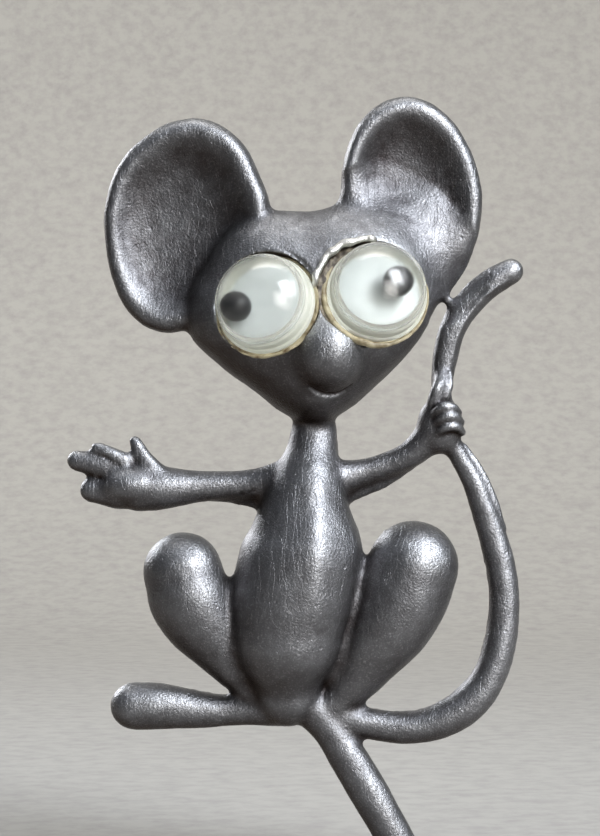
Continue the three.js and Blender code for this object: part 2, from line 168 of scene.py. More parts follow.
softbox("Window", (255, -225, 250), (0, 0, 0), (170, 210), 0.4, "#f3f7fd", 80)
softbox("Sky", (-60, -60, 520), (0, 0, 0), (420, 420), 0.16, "#f0f4fb", 120)
softbox("Paper_Lamp", (60, 120, 900), (40, 440, 260), (900, 300), 2.6, "#fffaf2", 90)
softbox("Far_Wall_Light", (420, -700, 180), (0, 0, 0), (420, 520), 0.66, "#f7f5f1", 60)
softbox("Back_Window", (-190, 250, 120), (0, 0, 0), (120, 120), 0.05, "#f4f7fb", 50)
world = bpy.data.worlds.new("Dim_Room")
bpy.context.scene.world = world
world.use_nodes = True
height = add_node(world.node_tree, "ShaderNodeSeparateXYZ", inputs={
    "Vector": add_node(world.node_tree, "ShaderNodeTexCoord").outputs["Generated"]})
skyward = add_node(world.node_tree, "ShaderNodeMapRange", inputs={
    "Value": height.outputs["Z"], "From Min": -0.5, "From Max": 0.9})
room = add_node(world.node_tree, "ShaderNodeMix", {"data_type": "RGBA"}, {
    0: skyward.outputs["Result"], 6: linear("#30271f"), 7: linear("#b7bcc3")})
world.node_tree.links.new(room.outputs[2], world.node_tree.nodes["Background"].inputs["Color"])
world.node_tree.nodes["Background"].inputs["Strength"].default_value = 0.5
bpy.context.scene.view_settings.view_transform = "Standard"

# ---- The casting ------------------------------------------------------------------------------------
# The mouse is one casting in pewter, poured in a two-part rubber mould: flat behind, rounded in front.
# It was darkened in an acid bath and rubbed back, so the high places are bright and the hollows dark.
limb_rounding = 18
fine_grid = 0.135 * MM
rough_grid = 0.21 * MM
groove_grid = 0.05 * MM
most_triangles = 178000
bare_relief = 0.3
relief_passes = 40


def mm(x, z, forward=0.0):
    """A point drawn in millimetres: across, up, and forward of the casting's back."""
    return Vector((x, -forward, z)) * MM


def closed_ring(outline):
    """A closed smooth loop of edges through the points of an outline, as a mesh object."""
    bpy.ops.object.select_all(action="DESELECT")
    bpy.ops.curve.primitive_bezier_circle_add(radius=MM)
    ring = bpy.context.object
    ring.data.dimensions = "3D"
    ring.data.resolution_u = 6
    points = ring.data.splines[0].bezier_points
    points.add(len(outline) - len(points))
    for point, (x, z) in zip(points, outline):
        point.co = mm(x, z)
        point.handle_left_type = point.handle_right_type = "AUTO"
    bpy.ops.object.convert(target="MESH")
    return bpy.context.object


def raise_form(ring, peak, profile, lean=0.0):
    """Raises a closed form from a ring, one extruded ring at a time. The profile gives each ring's size
    against the outline, and how far forward it lies. With a lean the form is deeper towards +X."""
    centre = mm(*peak)
    bpy.ops.object.mode_set(mode="EDIT")
    bpy.ops.mesh.select_all(action="SELECT")
    size, depth = 1.0, 0.0
    for count, (share, forward) in enumerate(profile):
        if count:
            bpy.ops.mesh.extrude_region_move(
                TRANSFORM_OT_translate={"value": (0, -(forward - depth) * MM, 0)})
        bpy.ops.transform.resize(value=(share / size, 1, share / size), center_override=centre)
        if not count:
            bpy.ops.mesh.edge_face_add()
        size, depth = share, forward
    bpy.ops.mesh.select_all(action="SELECT")
    bpy.ops.mesh.normals_make_consistent(inside=False)
    bpy.ops.object.mode_set(mode="OBJECT")
    for vertex in ring.data.vertices:
        vertex.co.y *= 1 + lean * (vertex.co.x - centre.x) / MM
    return ring


def ball(place, radii):
    """An egg-shaped mass with its three radii in millimetres."""
    bpy.ops.object.select_all(action="DESELECT")
    bpy.ops.mesh.primitive_uv_sphere_add(segments=40, ring_count=24, radius=MM, location=place)
    bpy.context.object.scale = radii
    bpy.ops.object.transform_apply(location=True, rotation=False, scale=True)
    return bpy.context.object


def limb(stations, squash=1.0):
    """A round limb along stations of [across, up, forward, radius], closed by a ball at each end."""
    bpy.ops.object.select_all(action="DESELECT")
    bpy.ops.curve.primitive_bezier_curve_add()
    line = bpy.context.object
    line.data.dimensions = "3D"
    line.data.resolution_u = 8
    line.data.bevel_depth = MM
    line.data.bevel_resolution = limb_rounding
    line.data.use_fill_caps = True
    spline = line.data.splines[0]
    spline.radius_interpolation = "CARDINAL"
    points = spline.bezier_points
    points.add(len(stations) - len(points))
    for point, (x, z, forward, radius) in zip(points, stations):
        point.co = mm(x, z, forward)
        point.radius = radius
        point.handle_left_type = point.handle_right_type = "AUTO"
    bpy.ops.object.convert(target="MESH")
    made = [bpy.context.object]
    for x, z, forward, radius in (stations[0], stations[-1]):
        made.append(ball(mm(x, z, forward), [radius] * 3))
    for piece in made:
        piece.select_set(True)
    if squash != 1:
        bpy.ops.transform.resize(value=(1, squash, 1), center_override=mm(0, 0, stations[0][2]))
        bpy.ops.object.transform_apply(location=True, rotation=True, scale=True)
    return made


def pick(piece):
    """Selects one piece alone and makes it the active one."""
    bpy.ops.object.select_all(action="DESELECT")
    piece.select_set(True)
    bpy.context.view_layer.objects.active = piece


def join_pieces(name, pieces):
    """Joins mesh objects into one."""
    bpy.ops.object.select_all(action="DESELECT")
    for piece in pieces:
        piece.select_set(True)
    bpy.context.view_layer.objects.active = pieces[0]
    bpy.ops.object.join()
    pieces[0].name = name
    return pieces[0]


def apply_modifier(piece, kind, **settings):
    """Adds a modifier to a piece and applies it."""
    pick(piece)
    modifier = piece.modifiers.new(kind.title(), kind)
    for name, value in settings.items():
        setattr(modifier, name, value)
    bpy.ops.object.modifier_apply(modifier=modifier.name)


def remesh(piece, grid):
    """Melts a piece's overlapping parts into one skin, on a grid of this pitch."""
    apply_modifier(piece, "REMESH", mode="VOXEL", voxel_size=grid)


def make_uneven(piece, texture, depth_mm, middle=0.5):
    """Moves a piece's skin in and out by a texture. The texture's middle value stays where it is."""
    apply_modifier(piece, "DISPLACE", texture=texture, texture_coords="LOCAL",
                   strength=depth_mm * MM, mid_level=middle)


# The head is an egg drawn to a point at the chin, with the muzzle a smaller egg that stands forward.
head_outline = [
    (-4.3, 18.4), (-2.4, 18.7), (0.6, 18.7), (2.9, 19.2), (6.6, 18.8), (9.0, 16.5), (10.1, 12.8),
    (9.3, 10.2), (7.6, 7.8), (5.4, 5.6), (3.3, 3.8), (0.9, 2.6), (-1.5, 3.4), (-3.9, 5.2), (-6.7, 7.3),
    (-8.8, 9.6), (-8.9, 12.0), (-7.6, 14.6), (-6.1, 16.9),
]
head_edge, head_depth = 1.1, 6.7
head_profile = [(0.95, 0.0), (1.0, head_edge)] + [
    (math.sin(math.radians(turn)), head_edge + (head_depth - head_edge) * math.cos(math.radians(turn)))
    for turn in range(84, 0, -5)
]
forms = [raise_form(closed_ring(head_outline), (1.1, 9.6), head_profile)]
forms.append(ball(mm(1.7, 8.2, 4.9), (2.75, 3.05, 3.15)))

# The ears are dishes with a rolled rim, thickest where they are furthest from the skull.
ear_profile = [
    (0.93, 0.0), (0.985, 0.4), (1.0, 0.9), (1.0, 1.35), (0.985, 1.85), (0.95, 2.25), (0.905, 2.45),
    (0.85, 2.46), (0.79, 2.25), (0.71, 1.88), (0.61, 1.5), (0.5, 1.25), (0.38, 1.08), (0.25, 0.98),
    (0.08, 0.93),
]
left_ear = [
    (-2.6, 18.9), (-3.5, 21.6), (-4.9, 24.0), (-7.0, 25.4), (-9.4, 25.5), (-11.8, 24.4), (-13.9, 22.3),
    (-15.0, 19.3), (-15.0, 16.1), (-14.3, 13.1), (-13.1, 10.9), (-11.4, 9.7), (-9.4, 9.6), (-7.2, 10.9),
    (-4.6, 14.2), (-2.8, 16.9),
]
right_ear = [
    (2.7, 19.0), (2.7, 21.1), (3.2, 23.5), (4.4, 25.7), (6.2, 27.0), (8.3, 27.2), (10.3, 26.2),
    (12.1, 23.9), (13.1, 21.2), (13.3, 18.6), (12.7, 15.8), (11.6, 13.5), (10.0, 12.0), (7.1, 12.6),
    (4.4, 15.8),
]
forms.append(raise_form(closed_ring(left_ear), (-10.2, 17.0), ear_profile, 0.045))
forms.append(raise_form(closed_ring(right_ear), (7.7, 19.4), ear_profile, -0.045))
# The right ear has no edge where it leaves the cheek: the metal runs up into the dish.
forms.append(ball(mm(8.7, 16.2, 0.6), (3.5, 1.7, 4.4)))

# The body hangs from the neck as a long egg, ridged down its middle where the mould was cut deepest.
forms += limb([
    (0.7, 2.2, 0.6, 1.75), (0.5, 0.4, 0.9, 2.05), (0.2, -1.5, 1.35, 2.75), (0.0, -3.8, 1.5, 3.5),
    (-0.1, -6.3, 1.5, 4.45), (-0.6, -9.0, 1.5, 4.75), (-1.2, -12.0, 1.5, 4.6), (-1.4, -15.0, 1.4, 4.0),
    (-1.35, -17.5, 1.2, 2.5),
], 0.95)
limbs = {
    "right thigh": [(8.1, -7.95, 1.5, 3.42), (7.0, -10.9, 1.4, 3.4), (5.1, -14.1, 1.2, 2.75),
                    (3.2, -17.1, 1.1, 1.7), (1.6, -18.9, 1.0, 1.2)],
    "left thigh": [(-9.15, -8.4, 1.4, 3.0), (-8.35, -10.9, 1.4, 3.1), (-6.7, -13.5, 1.2, 2.45),
                   (-5.0, -15.9, 1.1, 1.6), (-3.75, -17.6, 1.0, 1.2)],
    "left foot": [(-12.8, -18.45, 1.1, 1.8), (-10.5, -18.5, 1.0, 1.72), (-7.5, -18.8, 0.9, 1.35),
                  (-4.5, -18.8, 0.9, 1.15), (-1.6, -18.5, 1.0, 1.5)],
    "right foot": [(7.05, -28.9, 1.0, 1.4), (4.9, -25.1, 1.1, 1.5), (3.2, -22.3, 1.0, 1.45),
                   (1.8, -20.1, 1.0, 1.4), (0.5, -18.6, 1.0, 1.5)],
    "left arm": [(-0.9, -1.4, 1.1, 1.6), (-4.1, -1.8, 0.8, 1.1), (-7.9, -2.0, 0.9, 1.22),
                 (-10.5, -2.1, 1.0, 1.6), (-12.4, -2.2, 1.0, 1.7)],
    "right arm": [(1.7, -1.5, 1.1, 1.5), (4.0, -1.0, 0.9, 1.05), (6.0, -0.4, 0.9, 0.95),
                  (8.0, 0.5, 1.1, 1.05), (9.6, 2.0, 1.4, 1.3)],
    "thumb": [(-11.0, -1.2, 1.4, 0.86), (-12.0, 0.15, 1.5, 0.66), (-12.75, 1.4, 1.4, 0.5)],
    "first finger": [(-13.5, -0.1, 1.5, 0.68), (-14.8, 0.6, 1.6, 0.56), (-15.6, 0.95, 1.5, 0.5)],
    "second finger": [(-14.0, -0.9, 1.2, 1.0), (-15.75, -0.35, 1.2, 0.92), (-17.1, -0.05, 1.1, 0.82)],
    "third finger": [(-13.9, -2.4, 1.0, 1.37), (-15.2, -2.3, 1.0, 1.12), (-15.95, -2.25, 1.0, 0.98)],
    "fist thumb": [(9.6, 4.4, 2.3, 0.6), (10.0, 5.4, 2.3, 0.6), (10.2, 6.2, 1.9, 0.5)],
    "flash under the left arm": [
        (-6.9, -2.85, 0.35, 0.3), (-5.0, -3.1, 0.35, 0.36), (-3.1, -3.3, 0.4, 0.5)],
    "flash under the right arm": [
        (3.0, -2.9, 0.5, 0.5), (4.5, -2.35, 0.45, 0.44), (6.2, -1.6, 0.45, 0.4), (8.0, -0.45, 0.5, 0.36)],
    "flash by the ear": [(9.5, 12.7, 0.8, 0.34), (10.2, 12.15, 0.95, 0.3), (11.3, 11.6, 0.9, 0.36)],
    "tail": [(2.0, -19.1, 1.0, 1.2), (5.5, -19.9, 0.9, 1.2), (8.2, -20.1, 0.9, 1.24),
             (10.6, -19.4, 0.9, 1.36), (12.6, -18.0, 0.9, 1.38), (13.9, -16.1, 0.9, 1.3),
             (14.65, -13.8, 0.9, 1.24), (14.95, -11.2, 0.9, 1.18), (14.8, -8.6, 0.9, 1.14),
             (14.25, -6.2, 0.9, 1.1), (13.45, -3.8, 1.0, 1.02), (12.55, -1.5, 1.2, 0.88),
             (11.4, 0.5, 1.4, 0.75), (10.5, 2.6, 1.5, 0.75), (10.25, 5.2, 1.2, 0.8),
             (10.55, 7.8, 0.9, 0.98), (11.25, 10.2, 0.85, 1.06), (12.6, 12.1, 0.85, 1.1),
             (14.1, 13.4, 0.85, 1.08), (15.45, 14.15, 0.85, 1.0)],
}
for stations in limbs.values():
    forms += limb(stations)
# The palm of the open hand, and the fist.
forms.append(ball(mm(-12.9, -1.9, 1.0), (2.7, 2.0, 1.6)))
forms.append(ball(mm(10.1, 2.6, 1.5), (1.75, 1.5, 2.2)))
casting = join_pieces("Mouse_Casting", forms)
remesh(casting, rough_grid)
bpy.ops.object.mode_set(mode="EDIT")
bpy.ops.mesh.select_all(action="SELECT")
bpy.ops.mesh.bisect(
    plane_co=(0, 0, 0), plane_no=(0, 1, 0), use_fill=True, clear_outer=True, clear_inner=False)
bpy.ops.object.mode_set(mode="OBJECT")
remesh(casting, rough_grid)
# The chest has a soft keel, a little to the right of the middle.
keel = {"middle": 0.9 * MM, "foot": -13, "length": 14.5, "height": 0.32 * MM, "spread": 1.15}
for vertex in casting.data.vertices:
    across, up = (vertex.co.x - keel["middle"]) / MM, vertex.co.z / MM
    if vertex.co.y < -1.5 * MM and keel["foot"] < up < keel["foot"] + keel["length"]:
        fade = math.sin(math.radians((up - keel["foot"]) / keel["length"] * 180))
        vertex.co.y -= keel["height"] * fade * math.exp(-(across / keel["spread"]) ** 2)
apply_modifier(casting, "SMOOTH", factor=0.5, iterations=8)

# The muzzle runs into the brow without an edge, so its top is smoothed further than the rest.
bpy.ops.object.mode_set(mode="EDIT")
bpy.ops.mesh.select_mode(type="VERT")
bpy.ops.mesh.select_all(action="DESELECT")
bpy.ops.object.mode_set(mode="OBJECT")
muzzle, muzzle_reach = mm(1.7, 8.6, 6.0), 4.3 * MM
for vertex in casting.data.vertices:
    vertex.select = (vertex.co - muzzle).length < muzzle_reach
bpy.ops.object.mode_set(mode="EDIT")
bpy.ops.mesh.vertices_smooth(factor=0.5, repeat=26)
bpy.ops.mesh.select_all(action="DESELECT")
bpy.ops.object.mode_set(mode="OBJECT")


def smooth_along(piece, path, reach, least_forward, repeats):
    """Smooths the front of a piece within reach of a path drawn in millimetres."""
    places = np.empty(len(piece.data.vertices) * 3)
    piece.data.vertices.foreach_get("co", places)
    places = places.reshape(-1, 3)
    near = np.full(len(places), np.inf)
    for start, end in zip(path, path[1:]):
        for step in range(8):
            place = mm(*start).lerp(mm(*end), step / 7)
            near = np.minimum(near, np.linalg.norm(places - np.array(place), axis=1))
    chosen = (near < reach * MM) & (places[:, 1] < -least_forward * MM)
    piece.data.vertices.foreach_set("select", chosen)
    bpy.ops.object.mode_set(mode="EDIT")
    bpy.ops.mesh.vertices_smooth(factor=0.5, repeat=repeats)
    bpy.ops.object.mode_set(mode="OBJECT")


# The right ear's dish runs out into the brow: a strong narrow smoothing, then a light wide one.
ear_root = ((5.4, 19.0, 2.0), (7.6, 17.9, 2.2), (9.3, 16.0, 2.2), (10.2, 13.7, 1.8))
smooth_along(casting, ear_root, 2.5, 0.9, 300)
smooth_along(casting, ear_root, 3.6, 0.9, 30)

# The thighs run into the belly in soft valleys.
right_valley = (
    (4.15, -8.0, 2.2), (3.95, -9.6, 2.2), (3.6, -11.6, 2.1), (3.0, -13.8, 2.0), (2.3, -15.9, 1.8))
left_valley = ((-5.3, -9.4, 1.8), (-5.3, -11.6, 1.9), (-5.0, -13.6, 1.9), (-4.3, -15.6, 1.8))
for valley in (right_valley, left_valley):
    smooth_along(casting, valley, 1.2, 0.6, 24)

# Each eye sits in a round socket that was bored square to its axis.
socket_radius = 3.95
socket_floor = -0.5
clear_of_face = 12
eyes = {
    "left": {"base": Vector((-2.8, -5.5, 11.4)) * MM, "out": -18, "up": 16, "orbit": 1.82, "angle": 195},
    "right": {"base": Vector((5.25, -5.4, 12.2)) * MM, "out": 8, "up": 19, "orbit": 1.4, "angle": 20},
}


def eye_matrix(eye):
    """Where an eye stands: +Z along its axis, out of the face, from the middle of its base."""
    turn = Matrix.Rotation(math.radians(eye["out"]), 4, "Z")
    tilt = Matrix.Rotation(math.radians(90 - eye["up"]), 4, "X")
    return Matrix.Translation(eye["base"]) @ turn @ tilt


def cut_away(piece, cutter):
    """Cuts one solid out of another."""
    apply_modifier(piece, "BOOLEAN", operation="DIFFERENCE", solver="MANIFOLD", object=cutter)
    bpy.data.objects.remove(cutter)


def borer(eye, radius, low, high, across=0.0, up=0.0):
    """A round cutter about an eye's axis, moved across and up from it."""
    bpy.ops.object.select_all(action="DESELECT")
    bpy.ops.mesh.primitive_cylinder_add(
        vertices=96, radius=radius * MM, depth=(high - low) * MM,
        location=(across * MM, up * MM, (low + high) / 2 * MM))
    cutter = bpy.context.object
    bpy.ops.object.transform_apply(location=True, rotation=False, scale=False)
    cutter.data.transform(eye_matrix(eye))
    return cutter


for eye in eyes.values():
    cut_away(casting, borer(eye, socket_radius, socket_floor, clear_of_face))
# The right socket was torn wider on its upper left, where the eye was once prised out.
torn = {"radius": 3.84, "across": -0.66, "up": 0.08, "floor": -1.0}
cut_away(casting, borer(
    eyes["right"], torn["radius"], torn["floor"], clear_of_face, torn["across"], torn["up"]))


def face_point(piece, start, direction):
    """Where a straight line first meets a piece, or its start if it misses."""
    hit, place = piece.ray_cast(start, direction.normalized())[:2]
    return place if hit else start


def surface_line(piece, drawn, radius, rise=0.0):
    """A thin round line laid on the front of a piece, through points drawn as (across, up)."""
    stations = []
    for count, (x, z) in enumerate(drawn):
        place = face_point(piece, mm(x, z, 20), Vector((0, 1, 0)))
        thin = 0.55 if count in (0, len(drawn) - 1) else 1
        stations.append((x, z, rise - place.y / MM, radius * thin))
    return limb(stations)


# Lines cut in the mould's model: the mouth, the crease over the left eye, the gaps between the
# fingers, and the line under the left arm.
grooves = [
    ([(0.2, 5.6), (0.85, 5.1), (1.7, 4.85), (2.55, 5.0), (3.4, 5.6)], 0.25),
    ([(-1.7, 15.6), (-0.7, 15.0), (0.2, 14.2), (0.7, 13.3)], 0.17),
    ([(-16.9, -1.1), (-16.2, -1.15), (-15.5, -1.3), (-14.9, -1.55)], 0.17),
    ([(-16.0, 0.6), (-15.3, 0.35), (-14.6, 0.05), (-13.9, -0.4)], 0.13),
    ([(-13.3, 0.1), (-12.9, -0.5), (-12.4, -0.9)], 0.12),
    ([(-6.6, -2.75), (-5.2, -2.62), (-3.9, -2.3), (-3.1, -1.8)], 0.12),
]
for drawn, radius in grooves:
    tube = join_pieces("Groove", surface_line(casting, drawn, radius))
    remesh(tube, groove_grid)
    cut_away(casting, tube)

# Lines that stand proud: the parting lines on the tail above and below the fist, and one under the
# left arm.
tail_ridge = join_pieces("Tail_Ridge", surface_line(
    casting, [(10.95, 7.6), (11.55, 9.7), (12.7, 11.5), (14.0, 12.75), (15.2, 13.5)], 0.15, -0.02))
raised = [tail_ridge] + limb([
    (11.9, 1.1, 1.4, 0.2), (12.95, -0.5, 1.3, 0.3), (14.0, -2.7, 1.2, 0.34), (14.9, -5.2, 1.0, 0.25)])
raised += limb([
    (-7.5, -3.05, 0.5, 0.1), (-5.6, -2.95, 0.75, 0.2), (-4.0, -2.65, 0.9, 0.24), (-3.0, -2.2, 1.1, 0.2)])
# Three fingers close round the tail, each a short round ridge.
for across, up, thick in ((10.5, 3.95, 0.4), (10.65, 3.25, 0.44), (10.8, 2.5, 0.38)):
    raised += limb([
        (across - 0.95, up - 0.6, 2.6, 0.75 * thick), (across - 0.3, up - 0.05, 3.1, thick),
        (across + 0.35, up, 2.95, thick), (across + 0.9, up - 0.4, 2.1, 0.85 * thick)])
# Two ridges run up the tail above the fingers: the thumb, and the metal beside it.
raised += limb([(9.5, 4.5, 2.4, 0.36), (9.9, 5.4, 2.5, 0.42), (10.4, 6.1, 2.0, 0.34)])
raised += limb([(10.5, 4.75, 2.3, 0.3), (10.75, 5.5, 2.2, 0.33), (10.8, 6.5, 1.8, 0.26)])
# The metal along the tear stands up in a ragged lip, with a hair crack beside it.
torn_frame = eye_matrix(eyes["right"])
lip = []
tear = random.Random(4)
for turn in range(66, 198, 6):
    reach = torn["radius"] + 0.12 + tear.uniform(-0.07, 0.12)
    across = torn["across"] + reach * math.cos(math.radians(turn))
    up = torn["up"] + reach * math.sin(math.radians(turn))
    start = torn_frame @ (Vector((across, up, clear_of_face)) * MM)
    place = face_point(casting, start, torn_frame.to_3x3() @ Vector((0, 0, -1)))
    thin = 0.14 + 0.1 * math.sin(math.radians((turn - 60) / 140 * 180)) + tear.uniform(0, 0.09)
    lip.append((place.x / MM, place.z / MM, 0.12 - place.y / MM, thin))
crack = surface_line(casting, [(0.85, 13.1), (1.1, 12.4), (1.6, 11.8), (1.95, 11.2)], 0.07)
casting = join_pieces("Mouse_Casting", [casting] + raised)
remesh(casting, fine_grid)
apply_modifier(casting, "SMOOTH", factor=0.5, iterations=1)
# Cast metal is never quite true: its faces wander by a few hundredths of a millimetre.
for wander_size, wander_depth in ((2.6, 0.11), (0.7, 0.03)):
    wander = bpy.data.textures.new("Mould_Wander", "CLOUDS")
    wander.noise_scale = wander_size * MM
    make_uneven(casting, wander, wander_depth)
share = most_triangles / (2 * len(casting.data.polygons))
apply_modifier(casting, "DECIMATE", ratio=min(1, share), use_collapse_triangulate=True)
# The torn lip and the hair crack beside it are too fine for the grid, so they join the metal last.
cast_count = len(casting.data.vertices)
casting = join_pieces("Mouse_Casting", [casting] + limb(lip) + crack)
bpy.ops.object.shade_smooth()


def mark_relief(piece, passes):
    """Stores how far each point stands proud of its smoothed surroundings, in millimetres."""
    pick(piece)
    bpy.ops.object.duplicate()
    soft = bpy.context.object
    apply_modifier(soft, "SMOOTH", factor=0.5, iterations=passes)
    count = len(piece.data.vertices)
    sharp_places, soft_places, outward = (np.empty(count * 3) for _ in range(3))
    piece.data.vertices.foreach_get("co", sharp_places)
    soft.data.vertices.foreach_get("co", soft_places)
    piece.data.vertices.foreach_get("normal", outward)
    proud = ((sharp_places - soft_places) * outward).reshape(-1, 3).sum(axis=1) / MM
    piece.data.attributes.new("relief", "FLOAT", "POINT").data.foreach_set("value", proud)
    bpy.data.objects.remove(soft)


mark_relief(casting, relief_passes)
# The torn metal is bare, and as bright as the highest edges.
for mark in casting.data.attributes["relief"].data[cast_count:]:
    mark.value = bare_relief
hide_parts("mouse_casting")
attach(casting, "casting")

# Pewter, cast and darkened: a grey metal with a fine grain from the mould, rubbed bright on its ridges,
# with painted light towards the window lamp and painted shade on its undersides.
pewter, tree, output = new_material("Darkened cast pewter")
place = add_node(tree, "ShaderNodeTexCoord").outputs["Object"]
relief = add_node(tree, "ShaderNodeAttribute", {"attribute_name": "relief"}).outputs["Fac"]
clouds = add_node(tree, "ShaderNodeTexNoise", inputs={"Vector": place, "Scale": 1 / 0.003, "Detail": 5})
grain = add_node(tree, "ShaderNodeTexNoise", inputs={
    "Vector": place, "Scale": 1 / 0.00017, "Detail": 3, "Roughness": 0.6})
patches = add_node(tree, "ShaderNodeTexNoise", inputs={"Vector": place, "Scale": 1 / 0.0009, "Detail": 4})
rubbed = add_node(tree, "ShaderNodeMapRange", inputs={
    "Value": relief, "From Min": -0.10, "From Max": 0.12})
rubbed_patchy = add_node(tree, "ShaderNodeMath", {"operation": "MULTIPLY_ADD"}, {
    0: patches.outputs["Fac"], 1: 0.5, 2: rubbed.outputs["Result"]})
rubbed_cloudy = add_node(tree, "ShaderNodeMath", {"operation": "MULTIPLY_ADD"}, {
    0: clouds.outputs["Fac"], 1: 0.5, 2: rubbed_patchy.outputs[0]})
wear = add_node(tree, "ShaderNodeMapRange", inputs={
    "Value": rubbed_cloudy.outputs[0], "From Min": 0.55, "From Max": 1.45})
dark = add_node(tree, "ShaderNodeMix", {"data_type": "RGBA"}, {
    0: wear.outputs["Result"], 6: linear("#4b494c"), 7: linear("#a5a7ab")})
hollow = add_node(tree, "ShaderNodeMapRange", inputs={
    "Value": relief, "From Min": -0.26, "From Max": 0.0})
open_tint = add_node(tree, "ShaderNodeMix", {"data_type": "RGBA"}, {
    0: hollow.outputs["Result"], 6: linear("#232020"), 7: dark.outputs[2]})
# Painted light and shade: faces turned up, forward and right, towards the window lamp, are kept light, and
# faces turned away are painted dark brown as shade; cloth rubs the flat back, which is kept light.
outward = add_node(tree, "ShaderNodeTexCoord").outputs["Normal"]
window_facing = add_node(tree, "ShaderNodeVectorMath", {"operation": "DOT_PRODUCT"}, {
    0: outward, 1: (0.4, -0.45, 0.8)})
painted_light_side = add_node(tree, "ShaderNodeMapRange", inputs={
    "Value": window_facing.outputs["Value"], "From Min": -0.55, "From Max": 0.75})
rearward = add_node(tree, "ShaderNodeSeparateXYZ", inputs={"Vector": outward})
cloth_rubbed = add_node(tree, "ShaderNodeMapRange", inputs={
    "Value": rearward.outputs["Y"], "From Min": 0.6, "From Max": 0.95})
painted_light_and_back_wear = add_node(tree, "ShaderNodeMath", {"operation": "MAXIMUM"}, {
    0: painted_light_side.outputs["Result"], 1: cloth_rubbed.outputs["Result"]})
# Painted shade: where the faces turn away from the window lamp, the colour goes to a dark brown.
painted_shade_tint = add_node(tree, "ShaderNodeMix", {"data_type": "RGBA"}, {
    0: painted_light_and_back_wear.outputs[0], 6: linear("#33271f"), 7: open_tint.outputs[2]})
# Grains of bare bright metal, a tenth of a millimetre across, show through the dark.
specks = add_node(tree, "ShaderNodeTexNoise", inputs={"Vector": place, "Scale": 1 / 0.00013, "Detail": 2})
bare = add_node(tree, "ShaderNodeMapRange", inputs={
    "Value": specks.outputs["Fac"], "From Min": 0.54, "From Max": 0.72, "To Max": 0.8})
tint = add_node(tree, "ShaderNodeMix", {"data_type": "RGBA", "blend_type": "SCREEN"}, {
    0: bare.outputs["Result"], 6: painted_shade_tint.outputs[2], 7: painted_shade_tint.outputs[2]})
# Where a ridge stands proudest the metal is bare: silvery, and dull with fine rubbing.
proudest = add_node(tree, "ShaderNodeMapRange", inputs={
    "Value": relief, "From Min": 0.14, "From Max": bare_relief})
bared_tint = add_node(tree, "ShaderNodeMix", {"data_type": "RGBA"}, {
    0: proudest.outputs["Result"], 6: tint.outputs[2], 7: linear("#cfceca")})
roughness = add_node(tree, "ShaderNodeMapRange", inputs={
    "Value": rubbed_cloudy.outputs[0], "From Min": 0.4, "From Max": 1.5, "To Min": 0.5, "To Max": 0.36})
pits = add_node(tree, "ShaderNodeTexVoronoi", inputs={"Vector": place, "Scale": 1 / 0.0011})
pitting = add_node(tree, "ShaderNodeMapRange", inputs={
    "Value": pits.outputs["Distance"], "From Min": 0.05, "From Max": 0.16})
grain_bump = add_node(tree, "ShaderNodeBump", inputs={
    "Height": grain.outputs["Fac"], "Strength": 0.8, "Distance": 0.07 * MM})
# Hairline scratches: the places where a long stretched noise passes its middle value, in patches.
scratch_bump = grain_bump
for turn in (25, 80, 140):
    along = add_node(tree, "ShaderNodeMapping", inputs={
        "Vector": place, "Rotation": (0, math.radians(turn), 0),
        "Scale": (1 / 0.002, 1 / 0.006, 1 / 0.012)})
    streak = add_node(tree, "ShaderNodeTexNoise", inputs={
        "Vector": along.outputs[0], "Scale": 2.0, "Detail": 1})
    offset = add_node(tree, "ShaderNodeMath", {"operation": "SUBTRACT"}, {
        0: streak.outputs["Fac"], 1: 0.5})
    apart = add_node(tree, "ShaderNodeMath", {"operation": "ABSOLUTE"}, {0: offset.outputs[0]})
    line = add_node(tree, "ShaderNodeMapRange", inputs={
        "Value": apart.outputs[0], "From Min": 0.001, "From Max": 0.005})
    scratch_bump = add_node(tree, "ShaderNodeBump", inputs={
        "Height": line.outputs["Result"], "Strength": 0.45, "Distance": 0.03 * MM,
        "Normal": scratch_bump.outputs["Normal"]})
pit_bump = add_node(tree, "ShaderNodeBump", inputs={
    "Height": pitting.outputs["Result"], "Strength": 0.6, "Distance": 0.04 * MM,
    "Normal": scratch_bump.outputs["Normal"]})
finish_surface(tree, output, {
    "Base Color": bared_tint.outputs[2], "Metallic": 1.0, "Roughness": roughness.outputs["Result"],
    "Normal": pit_bump.outputs["Normal"]})
casting.data.materials.clear()
casting.data.materials.append(pewter)

# ---- Eyes -------------------------------------------------------------------------------------------
# Stick-on wobbly eyes: a clear moulded cap with a stepped flange, closed behind by a round of white
# card, with a loose black ball inside. They are stuck in their sockets with glue that has gone amber.


def turned_form(name, rings, sides, hole=False):
    """A round form about +Z, one extruded ring at a time, each given as [radius, height]. It closes on
    the axis at both ends, or with a hole its last ring meets its first."""
    bpy.ops.object.select_all(action="DESELECT")
    radius, height = rings[0]
    bpy.ops.mesh.primitive_circle_add(
        vertices=sides, radius=radius * MM, fill_type="NOTHING" if hole else "TRIFAN")
    form = bpy.context.object
    form.name = name
    bpy.ops.object.mode_set(mode="EDIT")
    bpy.ops.mesh.select_all(action="SELECT")
    bpy.ops.transform.translate(value=(0, 0, height * MM))
    if not hole:
        bpy.ops.mesh.region_to_loop()
    for next_radius, next_height in rings[1:]:
        bpy.ops.mesh.extrude_edges_move(
            TRANSFORM_OT_translate={"value": (0, 0, (next_height - height) * MM)})
        if next_radius:
            scale = next_radius / radius
            bpy.ops.transform.resize(value=(scale, scale, 1), center_override=(0, 0, next_height * MM))
        else:
            bpy.ops.mesh.merge(type="CENTER")
        radius, height = next_radius, next_height
    bpy.ops.mesh.select_all(action="SELECT")
    bpy.ops.mesh.remove_doubles(threshold=0.002 * MM)
    bpy.ops.mesh.normals_make_consistent(inside=False)
    bpy.ops.object.mode_set(mode="OBJECT")
    return form


